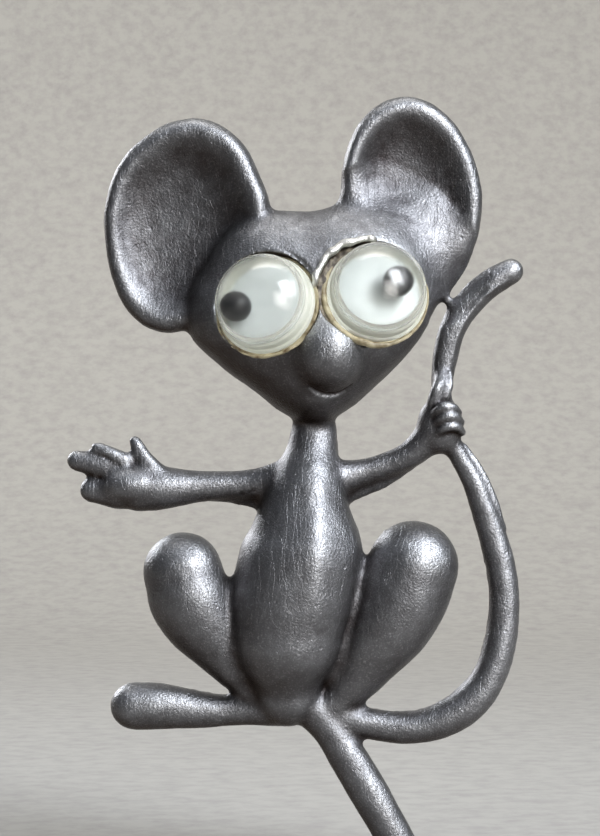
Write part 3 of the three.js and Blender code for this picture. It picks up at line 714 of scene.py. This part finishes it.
def dome(radius, start, top, steps):
    """Rings of a dome that springs from a radius at one height and closes on the axis at the top."""
    rise = top - start
    ball_radius = (radius * radius + rise * rise) / (2 * rise)
    spread = math.asin(radius / ball_radius)
    rings = []
    for step in range(1, steps + 1):
        turn = spread * (1 - step / steps)
        rings.append((ball_radius * math.sin(turn), top - ball_radius * (1 - math.cos(turn))))
    rings[-1] = (0, top)
    return rings


# The cap is one wall: flange, two steps and dome outside, and a plain domed cavity inside.
cap_outside = [
    (3.08, 0.0), (3.66, 0.0), (3.72, 0.07), (3.72, 0.36), (3.66, 0.45), (3.56, 0.5), (3.53, 0.58),
    (3.53, 1.12), (3.5, 1.2), (3.43, 1.25), (3.41, 1.32), (3.41, 1.86), (3.38, 2.0),
] + dome(3.38, 2.0, 4.0, 18)
cap_inside = [(3.02, 0.06), (3.0, 0.15), (3.0, 1.9), (2.96, 2.02)] + dome(2.96, 2.02, 3.42, 16)
disc_rings = [(1.2, 0.05), (2.86, 0.05), (2.92, 0.1), (2.92, 0.4), (2.86, 0.45), (1.4, 0.45), (0, 0.45)]
pupil_radius = 1.05
pupil_lift = 1.53
flash_swell = 1.012
bead_ring = 3.86
glue_grid = 0.07 * MM
grime_grid = 0.09 * MM


def wall_height_marks(piece, inverse):
    """Stores how high each point stands over the eye's base, in millimetres."""
    marks = piece.data.attributes.new("over_base", "FLOAT", "POINT")
    for vertex, mark in zip(piece.data.vertices, marks.data):
        mark.value = (inverse @ vertex.co).z / MM


for side, eye in eyes.items():
    stand = eye_matrix(eye)
    label = side.title()

    cap = turned_form(label + "_Eye_Cap", cap_outside, 96, hole=True)
    inner = turned_form("Cavity", cap_inside, 96, hole=True)
    cap = join_pieces(label + "_Eye_Cap", [cap, inner])
    bpy.ops.object.mode_set(mode="EDIT")
    bpy.ops.mesh.select_mode(type="EDGE")
    bpy.ops.mesh.select_all(action="DESELECT")
    bpy.ops.mesh.select_non_manifold(
        extend=False, use_wire=False, use_boundary=True, use_multi_face=False,
        use_non_contiguous=False, use_verts=False)
    bpy.ops.mesh.bridge_edge_loops()
    bpy.ops.mesh.select_all(action="SELECT")
    bpy.ops.mesh.normals_make_consistent(inside=False)
    bpy.ops.object.mode_set(mode="OBJECT")
    cap.data.transform(stand)
    wall_height_marks(cap, stand.inverted())
    bpy.ops.object.shade_smooth_by_angle(angle=math.radians(40))
    cap.visible_shadow = False
    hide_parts(side + "_eye_cap")
    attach(cap, "casting")

    disc = turned_form(label + "_Eye_Disc", disc_rings, 72)
    disc.data.transform(stand)
    bpy.ops.object.shade_smooth_by_angle(angle=math.radians(40))
    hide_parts(side + "_eye_disc")
    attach(disc, "casting")

    # The ball has a fine moulding flash round its middle, which is turned with the ball as it lies.
    bpy.ops.object.select_all(action="DESELECT")
    bpy.ops.mesh.primitive_uv_sphere_add(segments=64, ring_count=40, radius=pupil_radius * MM)
    pupil = bpy.context.object
    pupil.name = label + "_Pupil"
    for vertex in pupil.data.vertices:
        if abs(vertex.co.z) < 0.03 * MM:
            vertex.co *= flash_swell
    pupil.data.transform(Matrix.Rotation(math.radians(35), 4, "X"))
    round_turn = math.radians(eye["angle"])
    pupil.data.transform(Matrix.Translation(Vector((
        eye["orbit"] * math.cos(round_turn), eye["orbit"] * math.sin(round_turn), pupil_lift)) * MM))
    pupil.data.transform(stand)
    bpy.ops.object.shade_smooth()
    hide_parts(side + "_pupil")
    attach(pupil, side + "_pupil")

    # The glue is a pad under the cap, with an uneven bead squeezed out all round it. The bead climbs at
    # the lower left, where the right eye's is also thicker.
    pad = turned_form("Glue_Pad", [
        (1.5, -0.45), (3.85, -0.45), (3.9, -0.4), (3.9, -0.12), (1.5, -0.1), (0, -0.1)], 64)
    bpy.ops.object.select_all(action="DESELECT")
    bpy.ops.curve.primitive_bezier_circle_add(radius=bead_ring * MM)
    bead = bpy.context.object
    bpy.ops.object.mode_set(mode="EDIT")
    bpy.ops.curve.select_all(action="SELECT")
    bpy.ops.curve.subdivide(number_cuts=5)
    bpy.ops.object.mode_set(mode="OBJECT")
    squeeze = random.Random(side)
    bead.data.bevel_depth = MM
    bead.data.bevel_resolution = 5
    for point in bead.data.splines[0].bezier_points:
        low_left = max(0.0, -(point.co.x + point.co.y) / (bead_ring * MM) / 1.41)
        point.radius = 0.03 + squeeze.uniform(0, 0.1) + (0.16 if side == "right" else 0.0) * low_left
        point.co.z = (-0.14 + squeeze.uniform(-0.1, 0.14) + 0.16 * low_left) * MM
        point.co.x *= 1 + 0.03 * low_left
        point.co.y *= 1 + 0.03 * low_left
    bpy.ops.object.convert(target="MESH")
    glue = join_pieces(label + "_Eye_Glue", [pad, bpy.context.object])
    remesh(glue, glue_grid)
    apply_modifier(glue, "SMOOTH", factor=0.5, iterations=3)
    lumps = bpy.data.textures.new("Glue_Lumps", "CLOUDS")
    lumps.noise_scale = 0.6 * MM
    make_uneven(glue, lumps, 0.12)
    glue.data.transform(stand)
    bpy.ops.object.shade_smooth()
    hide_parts(side + "_eye_glue")
    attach(glue, "casting")

# Old glue and dirt still line the torn side of the right socket.
grime = turned_form("Right_Socket_Grime", [
    (1.5, -0.95), (3.72, -0.95), (3.84, -0.8), (3.84, 0.0), (3.7, 0.14), (3.3, 0.05), (2.6, -0.3),
    (1.5, -0.3), (0, -0.3)], 64)
grime.data.transform(Matrix.Translation(Vector((torn["across"], torn["up"], 0)) * MM))
remesh(grime, grime_grid)
make_uneven(grime, lumps, 0.3)
grime.data.transform(torn_frame)
bpy.ops.object.shade_smooth()
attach(grime, "casting")

# Clear polystyrene, moulded and polished, gone slightly yellow, and hazed round the wall and flange.
clear, tree, output = new_material("Clear polystyrene, aged")
over_base = add_node(tree, "ShaderNodeAttribute", {"attribute_name": "over_base"}).outputs["Fac"]
place = add_node(tree, "ShaderNodeTexCoord").outputs["Object"]
haze = add_node(tree, "ShaderNodeTexNoise", inputs={"Vector": place, "Scale": 1 / 0.0007, "Detail": 4})
hazed_height = add_node(tree, "ShaderNodeMath", {"operation": "MULTIPLY_ADD"}, {
    0: haze.outputs["Fac"], 1: 0.12, 2: over_base})
wall = add_node(tree, "ShaderNodeMapRange", inputs={
    "Value": hazed_height.outputs[0], "From Min": 2.35, "From Max": 0.9})
yellowing = add_node(tree, "ShaderNodeMix", {"data_type": "RGBA"}, {
    0: wall.outputs["Result"], 6: linear("#fafaf7"), 7: linear("#d3d5cb")})
clear_roughness = add_node(tree, "ShaderNodeMapRange", inputs={
    "Value": wall.outputs["Result"], "To Min": 0.15, "To Max": 0.36})
clearness = add_node(tree, "ShaderNodeMapRange", inputs={
    "Value": wall.outputs["Result"], "To Min": 1.0, "To Max": 0.55})
finish_surface(tree, output, {
    "Base Color": yellowing.outputs[2], "Roughness": clear_roughness.outputs["Result"], "IOR": 1.49,
    "Transmission Weight": clearness.outputs["Result"]})

# Pearl-coated card: white, smooth and a little glossy, with the faintest clouding.
pearl, tree, output = new_material("Pearl-coated card")
place = add_node(tree, "ShaderNodeTexCoord").outputs["Object"]
cloudy = add_node(tree, "ShaderNodeTexNoise", inputs={"Vector": place, "Scale": 1 / 0.0016, "Detail": 3})
white = add_node(tree, "ShaderNodeMix", {"data_type": "RGBA"}, {
    0: cloudy.outputs["Fac"], 6: linear("#a0a6a7"), 7: linear("#b2b8b8")})
weave = add_node(tree, "ShaderNodeTexNoise", inputs={"Vector": place, "Scale": 1 / 0.00012, "Detail": 2})
card_bump = add_node(tree, "ShaderNodeBump", inputs={
    "Height": weave.outputs["Fac"], "Strength": 0.3, "Distance": 0.01 * MM})
finish_surface(tree, output, {
    "Base Color": white.outputs[2], "Roughness": 0.32, "Coat Weight": 0.3, "Coat Roughness": 0.2,
    "Normal": card_bump.outputs["Normal"]})

# Black moulded plastic: glossy, and rubbed a little dull where the ball has rolled.
black, tree, output = new_material("Black moulded plastic")
place = add_node(tree, "ShaderNodeTexCoord").outputs["Object"]
scuff = add_node(tree, "ShaderNodeTexNoise", inputs={"Vector": place, "Scale": 1 / 0.0004, "Detail": 5})
ink = add_node(tree, "ShaderNodeMix", {"data_type": "RGBA"}, {
    0: scuff.outputs["Fac"], 6: linear("#0d0d0f"), 7: linear("#232325")})
dulled = add_node(tree, "ShaderNodeMapRange", inputs={
    "Value": scuff.outputs["Fac"], "To Min": 0.3, "To Max": 0.52})
finish_surface(tree, output, {
    "Base Color": ink.outputs[2], "Roughness": dulled.outputs["Result"], "Specular IOR Level": 0.3})

# Old contact adhesive: translucent amber, darker where dirt has stuck to it.
amber, tree, output = new_material("Aged contact adhesive")
place = add_node(tree, "ShaderNodeTexCoord").outputs["Object"]
dirt = add_node(tree, "ShaderNodeTexNoise", inputs={"Vector": place, "Scale": 1 / 0.0009, "Detail": 6})
dirtier = add_node(tree, "ShaderNodeMapRange", inputs={
    "Value": dirt.outputs["Fac"], "From Min": 0.47, "From Max": 0.68})
gum = add_node(tree, "ShaderNodeMix", {"data_type": "RGBA"}, {
    0: dirtier.outputs["Result"], 6: linear("#b9ae8e"), 7: linear("#5a4526")})
gum_bump = add_node(tree, "ShaderNodeBump", inputs={
    "Height": dirt.outputs["Fac"], "Strength": 0.6, "Distance": 0.05 * MM})
finish_surface(tree, output, {
    "Base Color": gum.outputs[2], "Roughness": 0.42, "Transmission Weight": 0.25, "IOR": 1.48,
    "Normal": gum_bump.outputs["Normal"]})

# The same glue where the eye was prised out: grey-brown with packed dirt, and crumbled on top.
caked, tree, output = new_material("Dirt-caked adhesive")
place = add_node(tree, "ShaderNodeTexCoord").outputs["Object"]
crumbs = add_node(tree, "ShaderNodeTexNoise", inputs={"Vector": place, "Scale": 1 / 0.0005, "Detail": 6})
crumb_tone = add_node(tree, "ShaderNodeMapRange", inputs={
    "Value": crumbs.outputs["Fac"], "From Min": 0.4, "From Max": 0.64})
caked_tint = add_node(tree, "ShaderNodeMix", {"data_type": "RGBA"}, {
    0: crumb_tone.outputs["Result"], 6: linear("#3b332b"), 7: linear("#8f8676")})
crumb_bump = add_node(tree, "ShaderNodeBump", inputs={
    "Height": crumbs.outputs["Fac"], "Strength": 0.8, "Distance": 0.12 * MM})
finish_surface(tree, output, {
    "Base Color": caked_tint.outputs[2], "Roughness": 0.6, "Normal": crumb_bump.outputs["Normal"]})

eye_finishes = {"Cap": clear, "Disc": pearl, "Glue": amber}
for label in ("Left", "Right"):
    for part, finish in eye_finishes.items():
        bpy.data.objects[label + "_Eye_" + part].data.materials.append(finish)
    bpy.data.objects[label + "_Pupil"].data.materials.append(black)
grime.data.materials.append(caked)

# ---- The pin fitting --------------------------------------------------------------------------------
# Bought-in brass fittings, nickel plated: a joint with two cheeks, a riveted steel pin, and a safety
# catch whose slotted barrel turns in a C-shaped housing. The joint and the catch are stamped, and
# soldered to the back by their pads.
fitting_edge = 0.06 * MM
solder_grid = 0.06 * MM
bevel_from_degrees = 32
smooth_up_to_degrees = 34


def softened(name, node, edge):
    """A copy of a part with its sharp edges rounded over, in place of the part's own node."""
    pick(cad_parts[node])
    bpy.ops.object.duplicate()
    copy = bpy.context.object
    copy.name = name
    copy.data.materials.clear()
    bpy.ops.object.mode_set(mode="EDIT")
    bpy.ops.mesh.select_all(action="SELECT")
    bpy.ops.mesh.customdata_custom_splitnormals_clear()
    bpy.ops.mesh.remove_doubles(threshold=0.003 * MM)
    bpy.ops.mesh.dissolve_limited(angle_limit=math.radians(1.5))
    bpy.ops.object.mode_set(mode="OBJECT")
    if edge:
        apply_modifier(copy, "BEVEL", width=edge, segments=3, limit_method="ANGLE",
                       angle_limit=math.radians(bevel_from_degrees), use_clamp_overlap=True)
    pick(copy)
    bpy.ops.object.shade_smooth_by_angle(angle=math.radians(smooth_up_to_degrees))
    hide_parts(node)
    return copy


# Nickel plate over brass: a warm white metal, bright, with brown tarnish clouding it.
nickel, tree, output = new_material("Nickel-plated brass")
place = add_node(tree, "ShaderNodeTexCoord").outputs["Object"]
tarnish = add_node(tree, "ShaderNodeTexNoise", inputs={"Vector": place, "Scale": 1 / 0.0016, "Detail": 6})
tarnished = add_node(tree, "ShaderNodeMapRange", inputs={
    "Value": tarnish.outputs["Fac"], "From Min": 0.42, "From Max": 0.7})
plate = add_node(tree, "ShaderNodeMix", {"data_type": "RGBA"}, {
    0: tarnished.outputs["Result"], 6: linear("#c9c5ba"), 7: linear("#7d7566")})
plate_roughness = add_node(tree, "ShaderNodeMapRange", inputs={
    "Value": tarnished.outputs["Result"], "To Min": 0.2, "To Max": 0.42})
rubs = add_node(tree, "ShaderNodeTexNoise", inputs={"Vector": place, "Scale": 1 / 0.00012, "Detail": 2})
rub_bump = add_node(tree, "ShaderNodeBump", inputs={
    "Height": rubs.outputs["Fac"], "Strength": 0.25, "Distance": 0.02 * MM})
finish_surface(tree, output, {
    "Base Color": plate.outputs[2], "Metallic": 1.0, "Roughness": plate_roughness.outputs["Result"],
    "Normal": rub_bump.outputs["Normal"]})

# Drawn steel wire, plated: bright, with draw marks a twentieth of a millimetre apart along it.
steel, tree, output = new_material("Drawn steel wire")
place = add_node(tree, "ShaderNodeTexCoord").outputs["Object"]
drawn = add_node(tree, "ShaderNodeMapping", inputs={"Vector": place, "Scale": (1, 1, 0.02)})
draw_marks = add_node(tree, "ShaderNodeTexNoise", inputs={
    "Vector": drawn.outputs[0], "Scale": 1 / 0.00006, "Detail": 2})
wire_cloud = add_node(tree, "ShaderNodeTexNoise", inputs={"Vector": place, "Scale": 1 / 0.002, "Detail": 3})
wire_tone = add_node(tree, "ShaderNodeMix", {"data_type": "RGBA"}, {
    0: wire_cloud.outputs["Fac"], 6: linear("#a6a7a8"), 7: linear("#d2d3d4")})
wire_bump = add_node(tree, "ShaderNodeBump", inputs={
    "Height": draw_marks.outputs["Fac"], "Strength": 0.3, "Distance": 0.01 * MM})
finish_surface(tree, output, {
    "Base Color": wire_tone.outputs[2], "Metallic": 1.0, "Roughness": 0.24,
    "Normal": wire_bump.outputs["Normal"]})

# Soft solder: a dull tin-grey bead, frosted and wrinkled as it froze, with flux stain in the dips.
soft_solder, tree, output = new_material("Soft solder")
place = add_node(tree, "ShaderNodeTexCoord").outputs["Object"]
frost = add_node(tree, "ShaderNodeTexNoise", inputs={"Vector": place, "Scale": 1 / 0.0005, "Detail": 6})
solder_tone = add_node(tree, "ShaderNodeMix", {"data_type": "RGBA"}, {
    0: frost.outputs["Fac"], 6: linear("#4d4a45"), 7: linear("#b9babb")})
frost_bump = add_node(tree, "ShaderNodeBump", inputs={
    "Height": frost.outputs["Fac"], "Strength": 0.7, "Distance": 0.06 * MM})
finish_surface(tree, output, {
    "Base Color": solder_tone.outputs[2], "Metallic": 1.0, "Roughness": 0.48,
    "Normal": frost_bump.outputs["Normal"]})

fittings = [
    ("Pin_Joint", "pin_joint", "casting", "nickel_plate", nickel),
    ("Joint_Rivet", "joint_rivet", "casting", "nickel_plate", nickel),
    ("Catch_Housing", "catch_case", "casting", "nickel_plate", nickel),
    ("Catch_Barrel", "catch_barrel", "barrel", "nickel_plate", nickel),
    ("Pin_Stem", "pin_stem", "pin", "spring_steel", steel),
]
for name, node, body, slot, finish in fittings:
    piece = softened(name, node, fitting_edge)
    piece.data.materials.append(finish)
    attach(piece, body)

# The solder beads are drawn up unevenly round the pads.
for name, node in (("Joint_Solder", "joint_solder"), ("Catch_Solder", "catch_solder")):
    piece = softened(name, node, 0)
    remesh(piece, solder_grid)
    apply_modifier(piece, "SMOOTH", factor=0.5, iterations=4)
    make_uneven(piece, lumps, 0.14, 0.4)
    bpy.ops.object.shade_smooth()
    piece.data.materials.append(soft_solder)
    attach(piece, "casting")
